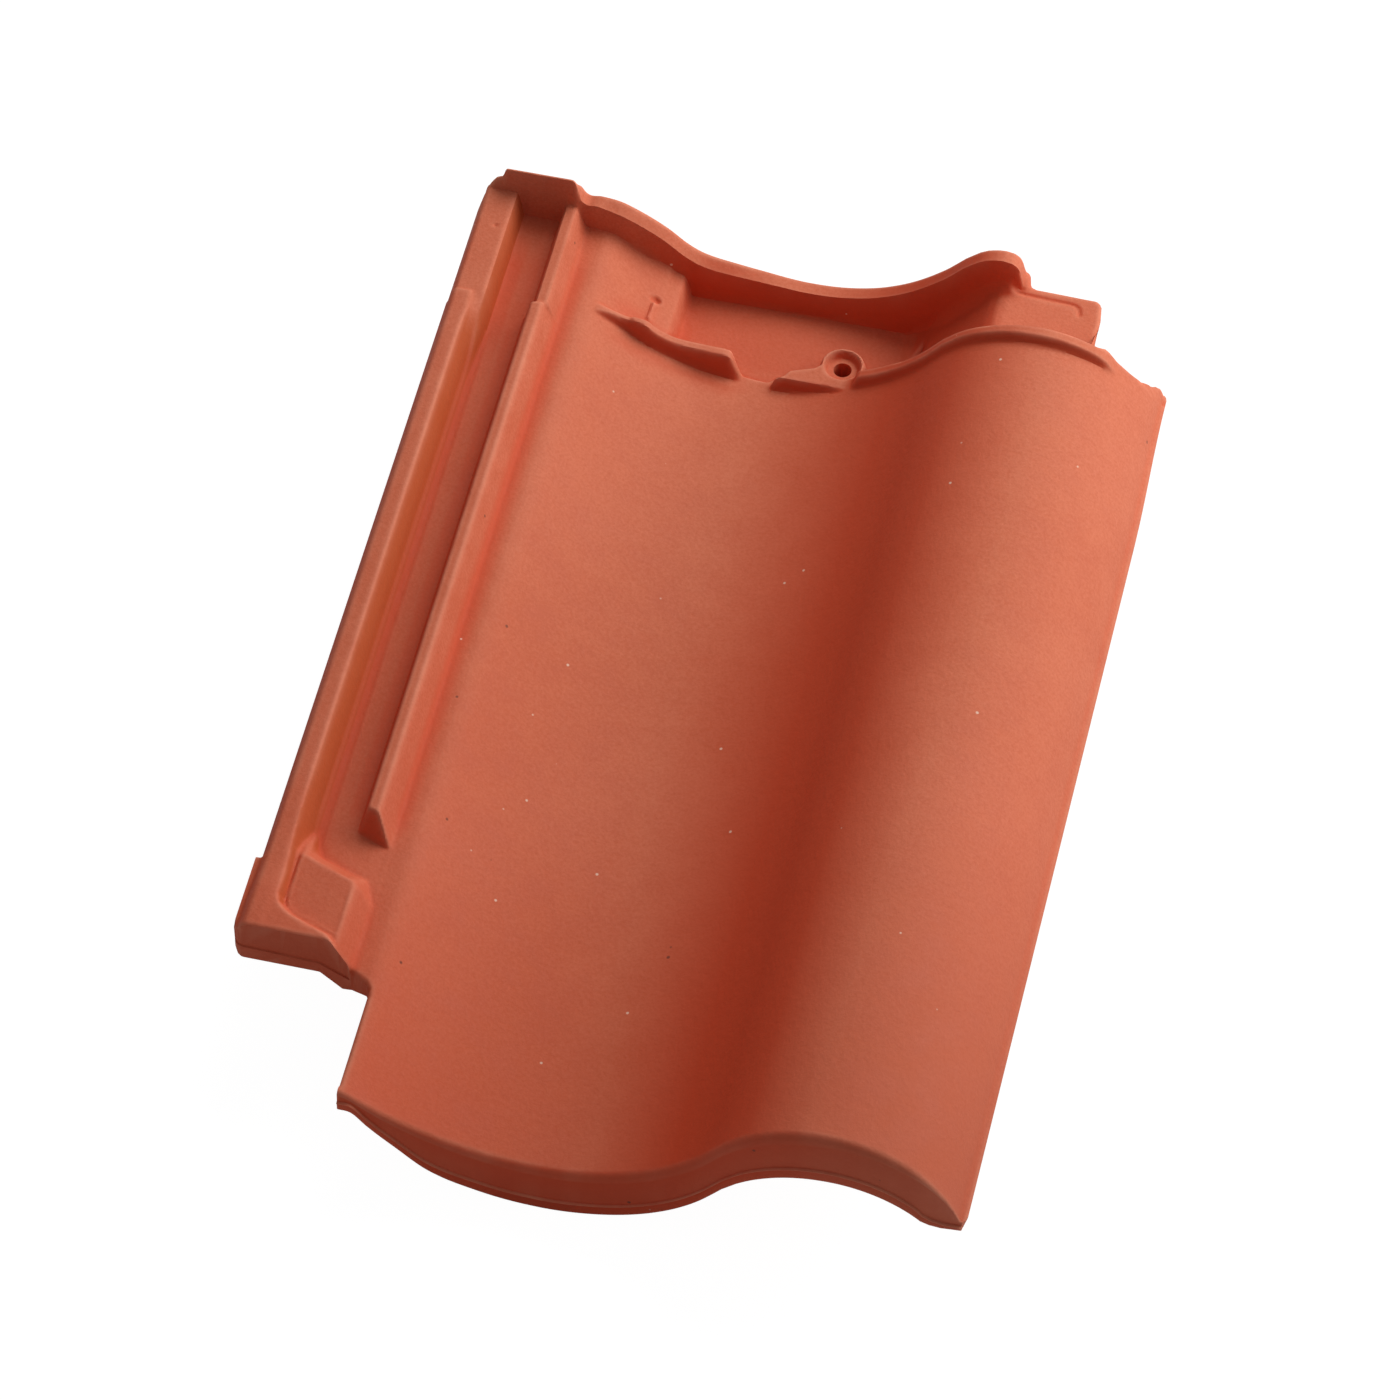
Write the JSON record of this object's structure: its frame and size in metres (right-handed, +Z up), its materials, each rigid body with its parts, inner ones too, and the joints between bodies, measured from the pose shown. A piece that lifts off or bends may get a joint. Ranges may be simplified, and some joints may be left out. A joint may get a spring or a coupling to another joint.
{
  "type": "interlocking clay roof tile",
  "caption": "Interlocking clay pantile with a curved pan and roll, a grooved side lock, a recessed head with a nail hole and hanging nibs.",
  "frame": {"origin": "on the ground under the middle of the outline", "axes": "+X across the tile from the side lock to the roll, +Y from the tail to the head, +Z up from the ground to the weather side"},
  "size_m": [0.2576, 0.39, 0.0762],
  "materials": {
    "clay": "matt unglazed fired terracotta"
  },
  "bodies": {
    "root": {"roof_tile": "clay"}
  },
  "joints": []
}
